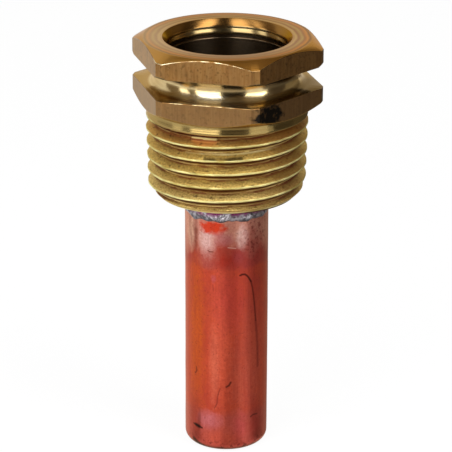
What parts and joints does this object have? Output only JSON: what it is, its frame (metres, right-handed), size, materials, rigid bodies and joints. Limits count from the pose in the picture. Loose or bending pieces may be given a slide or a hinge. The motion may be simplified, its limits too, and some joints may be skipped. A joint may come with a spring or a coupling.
{
  "type": "thermowell",
  "caption": "Thermowell with a brass taper-threaded hexagon body, a clip groove between its hexagons, and a closed copper pocket for a temperature sensor's bulb.",
  "frame": {"origin": "centre of the thread's gauge plane, on the axis", "axes": "+Z along the axis, from the closed tip of the copper pocket towards the head; X through two opposite hexagon corners"},
  "size_m": [0.0248, 0.022, 0.0558],
  "materials": {
    "brass": "turned and milled brass, tarnished on the hexagons",
    "copper": "drawn copper, heat-tinted red by brazing",
    "braze": "silver braze, as flowed"
  },
  "bodies": {
    "root": {"brass_body": "brass", "copper_pocket": "copper", "braze_joint": "braze"}
  },
  "joints": []
}
